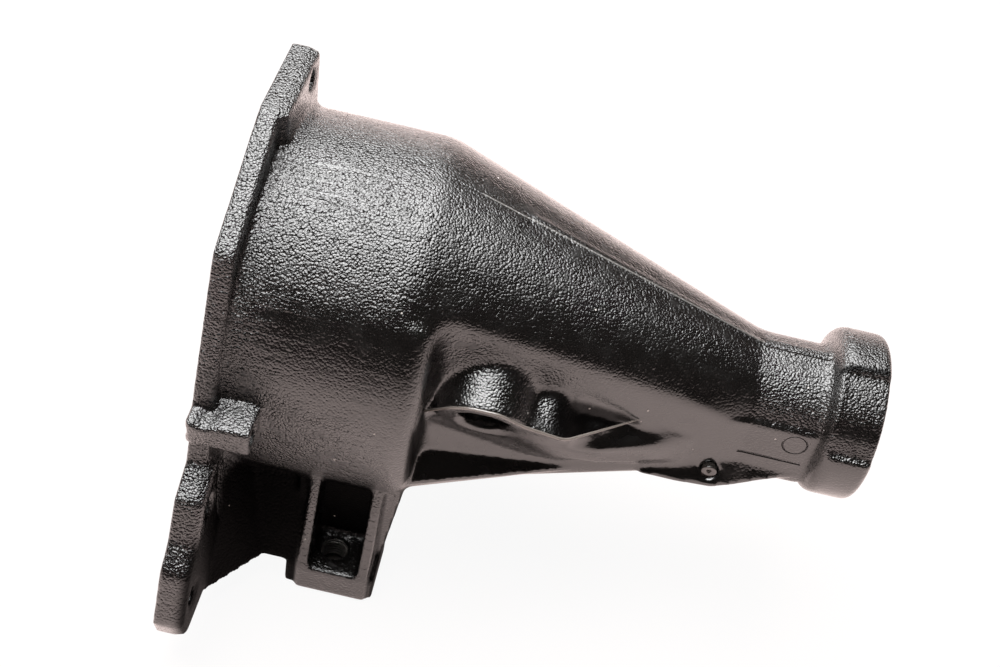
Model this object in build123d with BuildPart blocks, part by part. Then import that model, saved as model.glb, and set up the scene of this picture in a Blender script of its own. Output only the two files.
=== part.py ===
from build123d import *

import os
from math import atan, cos, radians, sin, tan

# Transmission extension housing, in millimetres.
# X runs along the bore from the case flange (x = 0) to the tail, Z is up, and the side with the
# speedometer boss faces -Y. The origin is the centre of the flange's mating face, on the bore axis.

# Main body of the casting
housing_length = 270.0
bell_radius = 77.6
bell_length = 72.0
neck_radius = 27.0
neck_length = 28.5
collar_length = 22.5
collar_radius = 36.4
wall = 6.5
bell_blend = 34.0
neck_blend = 30.0
collar_root_round = 4.0
collar_crown_round = 6.0
collar_end_round = 2.6

# Case flange, as distances from the middle plane and heights
flange_thickness = 8.5
ear_thickness = 12.0
ear_inset = 0.8
flange_top = 92.5
flange_top_half = 5.0
shoulder_y = 61.0
shoulder_z = 65.5
waist_y = 82.5
waist_z = 13.0
wing_root_y = 91.0
wing_root_z = -18.0
upper_ear_y = 96.5
upper_ear_z = -36.0
upper_ear_reach = 13.0
lower_ear_y = 117.5
lower_ear_z = -68.0
lower_ear_reach = 14.0
ear_slope = 0.52
ear_draft = 4.0
flange_bottom = -86.0
top_ear_y = 33.5
top_ear_z = 83.5
top_ear_reach = 11.0
top_ear_foot_z = 66.0
far_shoulder_y = 63.0
far_shoulder_z = 51.0
top_pad_height = 30.0
wing_pad_inner = 86.0
shoulder_round = 9.0
ear_round = 6.0
step_round = 2.0
bolt_hole_radius = 4.5
spot_radius = 6.8
spot_depth = 0.6
spot_clearance = 12.0
pilot_step = 1.4
pilot_depth = 5.0

# Lug on the flange's side, with a bolt through it
lug_length = 25.5
lug_reach = 93.5
lug_top = 7.5
lug_bottom = -5.0
lug_round = 1.6
lug_bolt_inset = 6.5

# Bell's longer skirt on the speedometer side
skirt_end = 86.0
skirt_from = -64.0
skirt_to = 40.0
skirt_round = 8.0

# Flat flank beside the speedometer drive, cut into the cone
flank_inset = 25.3
flank_proud = 0.4
flank_floor_z = -24.0
flank_floor_fall = 0.06
flank_floor_angle = 45.0
flank_corner_round = 7.0
flank_round = 7.0

# Speedometer drive bore, its boss and the small boss beside it
speedo_x = 110.0
speedo_tilt = 27.0
speedo_offset = 28.8
speedo_face = 49.1
speedo_bore_radius = 10.2
speedo_boss_radius = 19.6
speedo_depth = 30.0
side_boss_x = 134.0
side_boss_offset = 24.0
side_boss_radius = 11.0

# Web round the bosses: heights of its ridge and its foot on the face, then distances out from the flank
web_left_z = 2.0
web_peak_x = 127.0
web_peak_z = 12.4
web_corner_x = 143.7
web_corner_z = 7.5
web_bottom_z = -23.0
web_edge = 1.0
web_core = 12.0
web_slope = 0.15
web_fold_x = 159.5
web_fold_ridge = (8.2, 6.3)
web_fold_shoulder = (11.0, -4.5)
web_fold_bottom = (4.0, -21.0)
web_middle_x = 172.8
web_middle_ridge = (0.3, 5.3)
web_middle_shoulder = (7.2, -4.4)
web_middle_bottom = (2.5, -21.0)
web_tip_x = 197.0
web_tip_ridge = (0.2, -3.5)
web_tip_shoulder = (0.4, -4.5)
web_tip_bottom = (0.2, -19.0)

# Squared lower half of the neck
neck_box_start = 128.0
neck_box_top = 9.0
neck_box_lift = 1.5
neck_box_round = 9.0

# Pad that widens under the neck, by its stations along the bore. Each has its place past the cone's end,
# the height where it leaves the flank, how far its edge stands out from the flank, and that edge's height
keel_start = (-39.0, -24.0, 2.0, -26.2)
keel_swell = (-23.0, -19.8, 4.2, -27.2)
keel_peak = (-7.5, -15.3, 6.2, -26.9)
keel_crest = (3.0, -13.6, 4.8, -24.6)
keel_fall = (12.0, -15.0, 3.0, -20.9)
keel_finish = (26.0, -15.6, 0.3, -16.2)
keel_root = 1.0
keel_bevel = 2.2

# Plug in the side of that pad
plug_back = 10.0
plug_z = -21.5
plug_y = 34.0
plug_radius = 3.4
plug_length = 9.0
plug_round = 0.6
plug_socket_width = 2.4
plug_socket_depth = 1.2

# Marks left by the mould
seam_height = 0.7
seam_half_angle = 1.2
seam_start = 112.0
cone_seam_angle = 93.5
neck_strip_from = 88.0
neck_strip_to = 102.0
neck_strip_height = 0.9
neck_strip_lead = 5.0
ring_mark_back = 8.3
ring_mark_z = 1.8
ring_mark_radius = 5.4
ring_mark_width = 0.7
mark_depth = 0.5
groove_z = -9.3
groove_lead = 1.0
groove_back = 1.5
groove_width = 1.2

# Pocket in the collar
pocket_depth = 2.4
pocket_lead = 3.0
pocket_from = 12.0
pocket_to = 74.0

# Mount feet below the bell
foot_reach = 80.0
foot_inner = 50.0
foot_left = 45.2
foot_right = 76.6
foot_body_left = 40.0
foot_body_right = 79.5
foot_flare_right = 84.5
foot_bottom = -103.0
foot_shelf = -87.5
foot_root_y = 66.0
foot_root_z = -42.0
foot_side_y = 64.0
foot_recess = 22.0
foot_recess_back = 57.0
foot_round = 2.0
foot_hole_x = 59.0
foot_hole_y = 65.5
foot_hole_radius = 5.1
foot_hole_mouth = 7.2

# Webs from the feet to the flange's wings
gusset_reach = 112.0
gusset_bend_x = 30.0
gusset_bend_y = 77.5
gusset_bottom = -88.0
gusset_top = -34.0
gusset_top_reach = 86.0
gusset_top_bend_x = 15.0
gusset_top_bend_y = 52.0
gusset_wall = 6.0

# Tail bush, seal and their seats
bush_bore_radius = 20.5
bush_wall = 1.6
bush_length = 36.0
bush_relief = 6.0
bush_groove_width = 2.4
bush_groove_depth = 0.6
relief_radius = 24.0
seal_seat_radius = 28.5
seal_seat_depth = 11.0
tail_chamfer = 1.2
seal_case_thickness = 1.2
seal_case_length = 9.5
seal_case_mouth = 23.5
lip_radius = 19.0
lip_length = 7.6
lip_thickness = 2.2
spring_wire_radius = 1.0

# Values worked out from the sizes above
tilt = radians(speedo_tilt)
collar_start = housing_length - collar_length
cone_end = collar_start - neck_length
inner_radius = bell_radius - wall
pilot_radius = inner_radius + pilot_step
cone_slope = (bell_radius - neck_radius) / (cone_end - bell_length)
cavity_bend = bell_length - wall * tan(atan(cone_slope) / 2)
cavity_end = cavity_bend + (inner_radius - bush_bore_radius) / cone_slope
flank_end_y = neck_radius + flank_proud
flank_slope = (bell_radius - flank_inset - flank_end_y) / (cone_end - skirt_end)
seat_start = housing_length - seal_seat_depth
bush_end = seat_start - bush_relief
bush_start = bush_end - bush_length
plug_x = cone_end - plug_back
lug_bolt_y = lug_reach - lug_bolt_inset


def cone_radius(x):
    """Outer radius of the plain cone at a distance from the flange."""
    return bell_radius - cone_slope * (x - bell_length)


def flank_y(x):
    """Distance of the flat flank from the bore's middle plane, even along the neck."""
    return flank_end_y + flank_slope * max(cone_end - x, 0)


def flank_floor(x):
    """Height where the ledge below the flank starts."""
    return flank_floor_z - flank_floor_fall * (x - skirt_end)


def speedo_y(z):
    """Distance of the speedometer face from the bore's middle plane at a height."""
    return (speedo_face + z * sin(tilt)) / cos(tilt)


# Plane of the speedometer face: X along the bore, Y up the face, Z out of it
speedo_plane = Plane(
    origin=(0, -speedo_face * cos(tilt), -speedo_face * sin(tilt)),
    x_dir=(1, 0, 0),
    z_dir=(0, -cos(tilt), -sin(tilt)),
)
speedo_centre = (speedo_x, speedo_offset)
side_boss_centre = (side_boss_x, side_boss_offset)

# Outward plane of the flank, through its line at the end of the cone
flank_plane = Plane(origin=(cone_end, -flank_end_y, 0), z_dir=(flank_slope, -1, 0))

# Turned outside of the bell, cone, neck and collar
with BuildPart() as turned_body:
    with BuildSketch(Plane.XZ) as turned_half:
        with BuildLine():
            Polyline(
                (bell_length - bell_blend, bell_radius),
                (0, bell_radius),
                (0, 0),
                (housing_length, 0),
                (housing_length, collar_radius / 2),
            )
            FilletPolyline(
                (bell_length - bell_blend, bell_radius),
                (bell_length, bell_radius),
                (cone_end, neck_radius),
                (collar_start, neck_radius),
                (collar_start + collar_root_round / 2, collar_radius),
                (housing_length, collar_radius),
                (housing_length, collar_radius / 2),
                radius=[bell_blend, neck_blend, collar_root_round, collar_crown_round, collar_end_round],
            )
        make_face()
    revolve(axis=Axis.X)

# Longer skirt of the bell, over part of the turn on the speedometer side
with BuildPart() as skirt:
    with BuildSketch(Plane.XY.rotated((180 - skirt_to, 0, 0))) as skirt_half:
        with BuildLine():
            Polyline(
                (skirt_end, cone_radius(skirt_end) - wall),
                (bell_length - bell_blend, cone_radius(skirt_end) - wall),
                (bell_length - bell_blend, bell_radius),
            )
            FilletPolyline(
                (bell_length - bell_blend, bell_radius),
                (skirt_end, bell_radius),
                (skirt_end, cone_radius(skirt_end) - wall),
                radius=skirt_round,
            )
        make_face()
    revolve(axis=Axis.X, revolution_arc=skirt_to - skirt_from)

# Corners of the case flange from the top down one side: distance out, height, rounding
upper_ear_out = upper_ear_y + upper_ear_reach
lower_ear_out = lower_ear_y + lower_ear_reach
upper_ear_top_z = wing_root_z - ear_slope * (upper_ear_out - ear_draft - wing_root_y)
side_corners = [
    (shoulder_y, shoulder_z, shoulder_round),
    (waist_y, waist_z, shoulder_round),
    (wing_root_y, wing_root_z, step_round),
    (upper_ear_out - ear_draft, upper_ear_top_z, ear_round),
    (upper_ear_out + ear_draft, lower_ear_z + lower_ear_reach + 2 * ear_round, step_round),
    (lower_ear_out - 2 * ear_draft, lower_ear_z + lower_ear_reach + ear_draft, ear_round),
    (lower_ear_out + ear_draft / 4, lower_ear_z - ear_draft, ear_round),
    (lower_ear_out - ear_draft, flange_bottom, ear_round),
]
near_side = [(-flange_top_half, flange_top, shoulder_round)] + [(-y, z, r) for y, z, r in side_corners]
far_side = [
    (top_ear_y + top_ear_reach, flange_top, step_round),
    (top_ear_y + top_ear_reach + step_round, top_ear_foot_z, step_round),
    (far_shoulder_y, far_shoulder_z, shoulder_round),
] + side_corners[1:]
flange_corners = near_side + far_side[::-1]


def flange_outline():
    """Closed outline of the case flange, down the near side and up the far side."""
    points = [(y, z) for y, z, r in flange_corners]
    return FilletPolyline(*points, radius=[r for y, z, r in flange_corners], close=True)


# Case flange plate
with BuildPart() as flange:
    with BuildSketch(Plane.YZ) as plate_sketch:
        with BuildLine():
            flange_outline()
        make_face()
    extrude(amount=flange_thickness)

# Thicker pads round the bolt ears, set in a little from the plate's edge
with BuildPart() as ear_pads:
    with BuildSketch(Plane.YZ) as pad_sketch:
        with BuildLine():
            flange_outline()
        make_face()
        offset(amount=-ear_inset)
    extrude(amount=ear_thickness)
    with BuildSketch(Plane.YZ) as pad_zones:
        wing_height = wing_root_z - flange_bottom
        for side in (-1, 1):
            with Locations((side * (wing_pad_inner + lower_ear_y / 2), flange_bottom + wing_height / 2)):
                Rectangle(lower_ear_y, wing_height)
        with Locations((top_ear_y, flange_top)):
            Rectangle(2 * (top_ear_y + flange_top_half), 2 * top_pad_height)
    extrude(amount=ear_thickness, mode=Mode.INTERSECT)

# Bolt lug across the rim
with BuildPart() as lug:
    with BuildSketch(Plane.YZ) as lug_sketch:
        with Locations((-(lug_reach + inner_radius) / 2, (lug_top + lug_bottom) / 2)):
            Rectangle(lug_reach - inner_radius, lug_top - lug_bottom)
    extrude(amount=lug_length)
    fillet(lug.faces().sort_by(Axis.Y)[0].edges(), radius=lug_round)

# Mount foot: a body under the bell, two ribs and a shelf between them
with BuildPart() as foot:
    with BuildSketch(Plane.YZ.offset(foot_left)) as foot_rib_sketch:
        with BuildLine():
            Polyline(
                (-foot_root_y, foot_root_z),
                (-foot_reach, foot_shelf),
                (-foot_reach, foot_bottom),
                (-foot_inner, foot_bottom),
                (-foot_inner, foot_root_z),
                close=True,
            )
        make_face()
    extrude(amount=foot_right - foot_left)
    with BuildSketch(Plane.YZ.offset(foot_body_left)) as foot_body_sketch:
        with BuildLine():
            Polyline(
                (-foot_side_y, foot_root_z),
                (-foot_side_y, foot_shelf),
                (-foot_reach + foot_round, foot_shelf - foot_round),
                (-foot_reach + foot_round, foot_bottom),
                (-foot_inner, foot_bottom),
                (-foot_inner, foot_root_z),
                close=True,
            )
        make_face()
    extrude(amount=foot_flare_right - foot_body_left)
    with BuildSketch(Plane.XZ) as flare_sketch:
        with BuildLine():
            Polyline(
                (foot_body_right, foot_bottom - foot_round),
                (foot_body_right, foot_shelf),
                (foot_flare_right, foot_root_z),
                (foot_flare_right + foot_round, foot_root_z),
                (foot_flare_right + foot_round, foot_bottom - foot_round),
                close=True,
            )
        make_face()
    extrude(amount=foot_reach + foot_round, mode=Mode.SUBTRACT)
    with BuildSketch(Plane.XY.offset(foot_shelf)) as recess_sketch:
        with Locations(((foot_left + foot_right) / 2, -foot_recess_back - foot_reach)):
            Rectangle(foot_recess, 2 * foot_reach)
    extrude(amount=foot_root_z - foot_shelf + foot_recess, mode=Mode.SUBTRACT)

rib_thickness = (foot_right - foot_left - foot_recess) / 2


def gusset_outline(reach, bend_x, bend_y):
    """Corners of the leaning web at one height: out along its outer face and back along its inner one."""
    outer = [
        (flange_thickness / 2, -reach),
        (bend_x, -bend_y),
        (foot_left + rib_thickness / 2, -bend_y),
    ]
    inner = [
        (foot_left + rib_thickness / 2, -bend_y + gusset_wall),
        (bend_x - gusset_wall / 2, -bend_y + gusset_wall),
        (flange_thickness / 2 - gusset_wall / 2, -reach + gusset_wall),
    ]
    return outer + inner


# Web that leans out from under the bell and joins the foot to the flange's wing
gusset_levels = (
    (gusset_bottom, gusset_outline(gusset_reach, gusset_bend_x, gusset_bend_y)),
    (gusset_top, gusset_outline(gusset_top_reach, gusset_top_bend_x, gusset_top_bend_y)),
)
with BuildPart() as gusset:
    for height, points in gusset_levels:
        with BuildSketch(Plane.XY.offset(height)) as gusset_sketch:
            with BuildLine():
                Polyline(*points, close=True)
            make_face()
    loft(ruled=True)

# What is cut away beside the cone: a flat flank above a sloping ledge
with BuildPart() as flank_cut:
    for x in (skirt_end, cone_end):
        ledge_end_z = flank_floor(x) - (2 * bell_radius - flank_y(x)) * tan(radians(flank_floor_angle))
        with BuildSketch(Plane.YZ.offset(x)) as flank_sketch:
            with BuildLine():
                Polyline(
                    (-flank_y(x), bell_radius),
                    (-flank_y(x), flank_floor(x)),
                    (-2 * bell_radius, ledge_end_z),
                    (-2 * bell_radius, bell_radius),
                    close=True,
                )
            make_face()
    loft(ruled=True)
    flank_corner = flank_cut.edges().filter_by(Axis.Z).sort_by(Axis.X)[:2].sort_by(Axis.Y)[-1]
    fillet(flank_corner, radius=flank_corner_round)

# Squared lower half of the cone and neck, which tapers with the flank
with BuildPart() as lower_box:
    for x in (neck_box_start, cone_end):
        box_bottom = neck_box_lift - flank_y(x)
        with BuildSketch(Plane.YZ.offset(x)) as lower_box_sketch:
            with Locations((0, (neck_box_top + box_bottom) / 2)):
                Rectangle(2 * flank_y(x), neck_box_top - box_bottom)
            fillet(lower_box_sketch.vertices().group_by(Axis.Y)[0], radius=neck_box_round)
    loft(ruled=True)

with BuildPart() as neck_box:
    with BuildSketch(Plane.YZ.offset(cone_end)) as neck_sketch:
        with Locations((0, (neck_box_top + neck_box_lift - flank_end_y) / 2)):
            Rectangle(2 * flank_end_y, neck_box_top - neck_box_lift + flank_end_y)
        fillet(neck_sketch.vertices().group_by(Axis.Y)[0], radius=neck_box_round)
    extrude(amount=collar_start - cone_end)

# Pad that widens under the neck, with sloping sides
keel_stations = (keel_start, keel_swell, keel_peak, keel_crest, keel_fall, keel_finish)
with BuildPart() as keel:
    for past, leave_z, out, edge_z in keel_stations:
        side_y = flank_y(cone_end + past)
        half = [
            (side_y - keel_root, leave_z),
            (side_y + out, edge_z),
            (side_y + out - keel_bevel, edge_z - keel_bevel),
        ]
        with BuildSketch(Plane.YZ.offset(cone_end + past)) as keel_sketch:
            with BuildLine():
                Polyline(*half, *[(-y, z) for y, z in half[::-1]], close=True)
            make_face()
    loft(ruled=True)

# The two bosses, drawn on the plane of the machined face
with BuildPart() as speedo_boss:
    with BuildSketch(speedo_plane) as speedo_sketch:
        with Locations(speedo_centre):
            Circle(speedo_boss_radius)
        with Locations(side_boss_centre):
            Circle(side_boss_radius)
    extrude(amount=-speedo_depth)

# Web round the bosses, by its corners from section to section: first its ridge, shoulder and foot on the
# face, then where it turns away from the face, folds, and runs down the flank to a point
web_face_ridges = (
    (skirt_end - skirt_round, web_left_z),
    (web_peak_x, web_peak_z),
    (web_corner_x, web_corner_z),
)
web_flank_corners = (
    (web_fold_x, (web_fold_ridge, web_fold_shoulder, web_fold_bottom)),
    (web_middle_x, (web_middle_ridge, web_middle_shoulder, web_middle_bottom)),
    (web_tip_x, (web_tip_ridge, web_tip_shoulder, web_tip_bottom)),
)
web_sections = []
for x, ridge_z in web_face_ridges:
    levels = (ridge_z, ridge_z - web_edge, web_bottom_z)
    web_sections.append((x, [(-speedo_y(level), level) for level in levels]))
for x, corners in web_flank_corners:
    web_sections.append((x, [(-flank_y(x) - out, z) for out, z in corners]))
with BuildPart() as web:
    for x, corners in web_sections:
        core_y = web_core - flank_y(x)
        ridge_y, ridge_z = corners[0]
        core_top = ridge_z + web_slope * (core_y - ridge_y)
        with BuildSketch(Plane.YZ.offset(x)) as web_sketch:
            with BuildLine():
                Polyline((core_y, core_top), *corners, (core_y, corners[-1][1]), close=True)
            make_face()
    loft(ruled=True)

# Strip along the top of the neck and the thin seam along the cone
with BuildPart() as neck_strip:
    with BuildSketch(Plane.XY.rotated((180 - neck_strip_to, 0, 0))) as neck_strip_sketch:
        with BuildLine():
            Polyline(
                (cone_end - neck_strip_lead, neck_radius / 2),
                (collar_start + collar_root_round, neck_radius / 2),
                (collar_start + collar_root_round, neck_radius + neck_strip_height),
                (cone_end - neck_strip_lead, neck_radius + neck_strip_height),
                close=True,
            )
        make_face()
    revolve(axis=Axis.X, revolution_arc=neck_strip_to - neck_strip_from)

with BuildPart() as cone_seam:
    with BuildSketch(Plane.XY.rotated((180 - cone_seam_angle - seam_half_angle, 0, 0))) as seam_sketch:
        with BuildLine():
            Polyline(
                (seam_start, cone_radius(seam_start) - wall / 2),
                (cone_end, neck_radius - wall / 2),
                (cone_end, neck_radius + seam_height),
                (seam_start, cone_radius(seam_start) + seam_height),
                close=True,
            )
        make_face()
    revolve(axis=Axis.X, revolution_arc=2 * seam_half_angle)

# Pocket sunk in the side of the collar
with BuildPart() as collar_pocket:
    with BuildSketch(Plane.XY.rotated((180 - pocket_to, 0, 0))) as pocket_sketch:
        with BuildLine():
            Polyline(
                (collar_start + pocket_lead, collar_radius - pocket_depth),
                (housing_length + wall, collar_radius - pocket_depth),
                (housing_length + wall, collar_radius + wall),
                (collar_start + pocket_lead, collar_radius + wall),
                close=True,
            )
        make_face()
    revolve(axis=Axis.X, revolution_arc=pocket_to - pocket_from)

# Hollow of the bell and cone, which keeps an even wall behind the flank
with BuildPart() as cone_hollow:
    with BuildSketch(Plane.XZ) as cone_hollow_half:
        with BuildLine():
            Polyline(
                (0, 0),
                (0, inner_radius),
                (cavity_bend, inner_radius),
                (cavity_end, bush_bore_radius),
                (bush_end, bush_bore_radius),
                (bush_end, 0),
                close=True,
            )
        make_face()
    revolve(axis=Axis.X)
    split(bisect_by=flank_plane.offset(-wall), keep=Keep.BOTTOM)

with BuildPart() as bell_hollow:
    with BuildSketch(Plane.YZ) as bell_bore_sketch:
        Circle(inner_radius)
    extrude(amount=cavity_bend)
    with BuildSketch(Plane.YZ) as pilot_sketch:
        Circle(pilot_radius)
    extrude(amount=pilot_depth)

with BuildPart() as tail_hollow:
    with BuildSketch(Plane.XZ) as tail_half:
        with BuildLine():
            Polyline(
                (cavity_end - wall, 0),
                (cavity_end - wall, bush_bore_radius),
                (bush_end, bush_bore_radius),
                (bush_end, relief_radius),
                (seat_start, relief_radius),
                (seat_start, seal_seat_radius),
                (housing_length - tail_chamfer, seal_seat_radius),
                (housing_length, seal_seat_radius + tail_chamfer),
                (housing_length, 0),
                close=True,
            )
        make_face()
    revolve(axis=Axis.X)

# Bolt holes of the flange: the ears and, through the lugs, one more on each side
side_ears = [(upper_ear_y, upper_ear_z), (lower_ear_y, lower_ear_z)]
ear_bolts = [(side * y, z) for side in (-1, 1) for y, z in side_ears] + [(top_ear_y, top_ear_z)]
lug_bolts = [(side * lug_bolt_y, (lug_top + lug_bottom) / 2) for side in (-1, 1)]
flange_bolts = ear_bolts + lug_bolts

# The casting
with BuildPart() as cone_body:
    add(turned_body.part)
    add(flank_cut.part, mode=Mode.SUBTRACT)
    flank_faces = cone_body.faces().filter_by(lambda f: abs(f.normal_at().dot(flank_plane.z_dir)) > 0.9999)
    flank_face = flank_faces.sort_by(SortBy.AREA)[-1]
    brow = flank_face.edges().sort_by(Axis.Z)[-1]
    fillet(brow, radius=flank_round)
    add(skirt.part)

with BuildPart() as extension_housing:
    add(cone_body.part)
    add(lower_box.part)
    add(neck_box.part)
    add(speedo_boss.part)
    add(web.part)
    add(flange.part)
    add(ear_pads.part)
    add(lug.part)
    mirror(lug.part, about=Plane.XZ)
    add(foot.part)
    mirror(foot.part, about=Plane.XZ)
    add(gusset.part)
    mirror(gusset.part, about=Plane.XZ)
    add(keel.part)
    add(neck_strip.part)
    add(cone_seam.part)
    add(collar_pocket.part, mode=Mode.SUBTRACT)
    add(cone_hollow.part, mode=Mode.SUBTRACT)
    add(bell_hollow.part, mode=Mode.SUBTRACT)
    add(tail_hollow.part, mode=Mode.SUBTRACT)
    with BuildSketch(Plane.YZ) as bolt_sketch:
        with Locations(*flange_bolts):
            Circle(bolt_hole_radius)
    extrude(amount=lug_length, mode=Mode.SUBTRACT)
    with BuildSketch(Plane.YZ.offset(ear_thickness - spot_depth)) as spot_sketch:
        with Locations(*ear_bolts):
            Circle(spot_radius)
    extrude(amount=spot_clearance, mode=Mode.SUBTRACT)
    with BuildSketch(Plane.XZ.offset(flank_end_y)) as mark_sketch:
        with Locations((collar_start - ring_mark_back, ring_mark_z)):
            Circle(ring_mark_radius)
            Circle(ring_mark_radius - ring_mark_width, mode=Mode.SUBTRACT)
        with Locations((cone_end - groove_lead, groove_z)):
            Rectangle(neck_length + groove_lead - groove_back, groove_width, align=(Align.MIN, Align.CENTER))
    extrude(amount=-mark_depth, mode=Mode.SUBTRACT)
    with BuildSketch(speedo_plane) as speedo_bore_sketch:
        with Locations(speedo_centre):
            Circle(speedo_bore_radius)
    extrude(amount=-speedo_depth, mode=Mode.SUBTRACT)
    with BuildSketch(Plane.XY.offset(foot_shelf)) as foot_hole_sketch:
        with Locations((foot_hole_x, -foot_hole_y), (foot_hole_x, foot_hole_y)):
            Circle(foot_hole_radius)
    extrude(amount=foot_bottom - foot_shelf, mode=Mode.SUBTRACT)
    foot_rims = extension_housing.edges().filter_by(GeomType.CIRCLE)
    foot_rims = foot_rims.filter_by(lambda e: abs(e.radius - foot_hole_radius) < 0.01)
    chamfer(foot_rims, length=foot_hole_mouth - foot_hole_radius)
    with BuildSketch(Plane.XZ.offset(plug_y)) as plug_hole_sketch:
        with Locations((plug_x, plug_z)):
            Circle(plug_radius)
    extrude(amount=-plug_length, mode=Mode.SUBTRACT)

# Bush pressed into the tail bore, with an oil groove round its middle
with BuildPart() as output_bushing:
    with BuildSketch(Plane.XZ) as bushing_half:
        bush_middle = bush_start + bush_length / 2
        with BuildLine():
            Polyline(
                (bush_start, bush_bore_radius),
                (bush_end, bush_bore_radius),
                (bush_end, bush_bore_radius - bush_wall),
                (bush_middle + bush_groove_width / 2, bush_bore_radius - bush_wall),
                (bush_middle + bush_groove_width / 2, bush_bore_radius - bush_wall + bush_groove_depth),
                (bush_middle - bush_groove_width / 2, bush_bore_radius - bush_wall + bush_groove_depth),
                (bush_middle - bush_groove_width / 2, bush_bore_radius - bush_wall),
                (bush_start, bush_bore_radius - bush_wall),
                close=True,
            )
        make_face()
    revolve(axis=Axis.X)

# Steel case of the tail seal: a cup with its back to the bush side open
case_back = seat_start + seal_case_length
with BuildPart() as oil_seal_case:
    with BuildSketch(Plane.XZ) as case_half:
        with BuildLine():
            Polyline(
                (seat_start, seal_seat_radius),
                (case_back, seal_seat_radius),
                (case_back, seal_case_mouth),
                (case_back - seal_case_thickness, seal_case_mouth),
                (case_back - seal_case_thickness, seal_seat_radius - seal_case_thickness),
                (seat_start, seal_seat_radius - seal_case_thickness),
                close=True,
            )
        make_face()
    revolve(axis=Axis.X)

# Rubber lip bonded inside the case, with a groove for the spring on its outside
lip_front = case_back - seal_case_thickness
lip_edge = lip_front - lip_length
spring_x = lip_edge + lip_length / 3
spring_centre_radius = lip_radius + lip_thickness + spring_wire_radius / 2
with BuildPart() as oil_seal_lip:
    with BuildSketch(Plane.XZ) as lip_half:
        with BuildLine():
            Polyline(
                (lip_front, seal_seat_radius - seal_case_thickness),
                (lip_front, lip_radius + lip_thickness),
                (spring_x, lip_radius),
                (lip_edge, lip_radius + lip_thickness / 2),
                (lip_edge, spring_centre_radius),
                (lip_front - lip_thickness, spring_centre_radius),
                (lip_front - lip_thickness, seal_seat_radius - seal_case_thickness),
                close=True,
            )
        make_face()
        with Locations((spring_x, spring_centre_radius)):
            Circle(spring_wire_radius, mode=Mode.SUBTRACT)
    revolve(axis=Axis.X)

# Garter spring that lies in the lip's groove
with BuildPart() as seal_garter_spring:
    with BuildSketch(Plane.XZ) as spring_half:
        with Locations((spring_x, spring_centre_radius)):
            Circle(spring_wire_radius)
    revolve(axis=Axis.X)

# Threaded plug in the pad under the neck, with a square socket
with BuildPart() as neck_plug:
    with BuildSketch(Plane.XZ.offset(plug_y)) as plug_sketch:
        with Locations((plug_x, plug_z)):
            Circle(plug_radius)
    extrude(amount=-plug_length)
    fillet(neck_plug.edges().filter_by(GeomType.CIRCLE).group_by(Axis.Y)[0], radius=plug_round)
    with BuildSketch(Plane.XZ.offset(plug_y)) as socket_sketch:
        with Locations((plug_x, plug_z)):
            Rectangle(plug_socket_width, plug_socket_width)
    extrude(amount=-plug_socket_depth, mode=Mode.SUBTRACT)

pieces = {
    "extension_housing": extension_housing,
    "output_bushing": output_bushing,
    "oil_seal_case": oil_seal_case,
    "oil_seal_lip": oil_seal_lip,
    "seal_garter_spring": seal_garter_spring,
    "neck_plug": neck_plug,
}
os.makedirs("parts", exist_ok=True)
for name, piece in pieces.items():
    piece.part.label = name
    export_step(piece.part, f"parts/{name}.step")
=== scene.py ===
"""Looks of a painted transmission extension housing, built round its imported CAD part."""

import math

import bpy
import numpy as np
from mathutils import Matrix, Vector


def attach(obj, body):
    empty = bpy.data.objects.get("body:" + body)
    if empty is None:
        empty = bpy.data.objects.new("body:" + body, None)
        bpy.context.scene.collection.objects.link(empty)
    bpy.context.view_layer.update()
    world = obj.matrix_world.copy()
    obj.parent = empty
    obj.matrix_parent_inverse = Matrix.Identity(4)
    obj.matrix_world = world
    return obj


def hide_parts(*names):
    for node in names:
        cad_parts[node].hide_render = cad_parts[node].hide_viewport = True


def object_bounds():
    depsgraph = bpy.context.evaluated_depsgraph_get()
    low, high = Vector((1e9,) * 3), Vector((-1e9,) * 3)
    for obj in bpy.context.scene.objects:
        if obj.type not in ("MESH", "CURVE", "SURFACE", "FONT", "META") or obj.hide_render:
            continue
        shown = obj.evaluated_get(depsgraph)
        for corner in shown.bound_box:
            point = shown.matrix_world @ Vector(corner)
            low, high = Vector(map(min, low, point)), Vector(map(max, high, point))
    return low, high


bl_info = {
    "name": "Painted extension housing",
    "version": (1, 0, 0),
    "blender": (4, 5, 0),
    "location": "View3D > Sidebar > Housing",
    "description": "Builds the painted casting, its threads, plug, bush and seal, and the studio round them",
    "category": "Add Mesh",
}

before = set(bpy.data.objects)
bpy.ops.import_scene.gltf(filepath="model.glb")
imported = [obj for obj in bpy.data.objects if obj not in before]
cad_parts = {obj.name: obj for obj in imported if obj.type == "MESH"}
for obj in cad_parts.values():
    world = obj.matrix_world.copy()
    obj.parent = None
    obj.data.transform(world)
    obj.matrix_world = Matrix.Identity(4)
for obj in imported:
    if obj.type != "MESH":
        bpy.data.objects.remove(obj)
CAD_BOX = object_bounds()
BODY = "root"
MM = 0.001
FLOOR_HEIGHT = CAD_BOX[0].z

# How the casting's skin is rounded: share of the way to the neighbours' mean that a point moves in one pass.
WELD_DISTANCE = 0.01 * MM
EDGE_SHARE = 0.5
POCKET_SHARE = 0.6
SHOULDER = MM * np.array([76.2, -57.9, 49.4])

# The flat flank: its distance from the axis at the x where it ends, and how it leans out before that.
FLANK_END = 219 * MM
FLANK_REACH = 27.4 * MM
FLANK_SLOPE = 0.187

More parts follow.
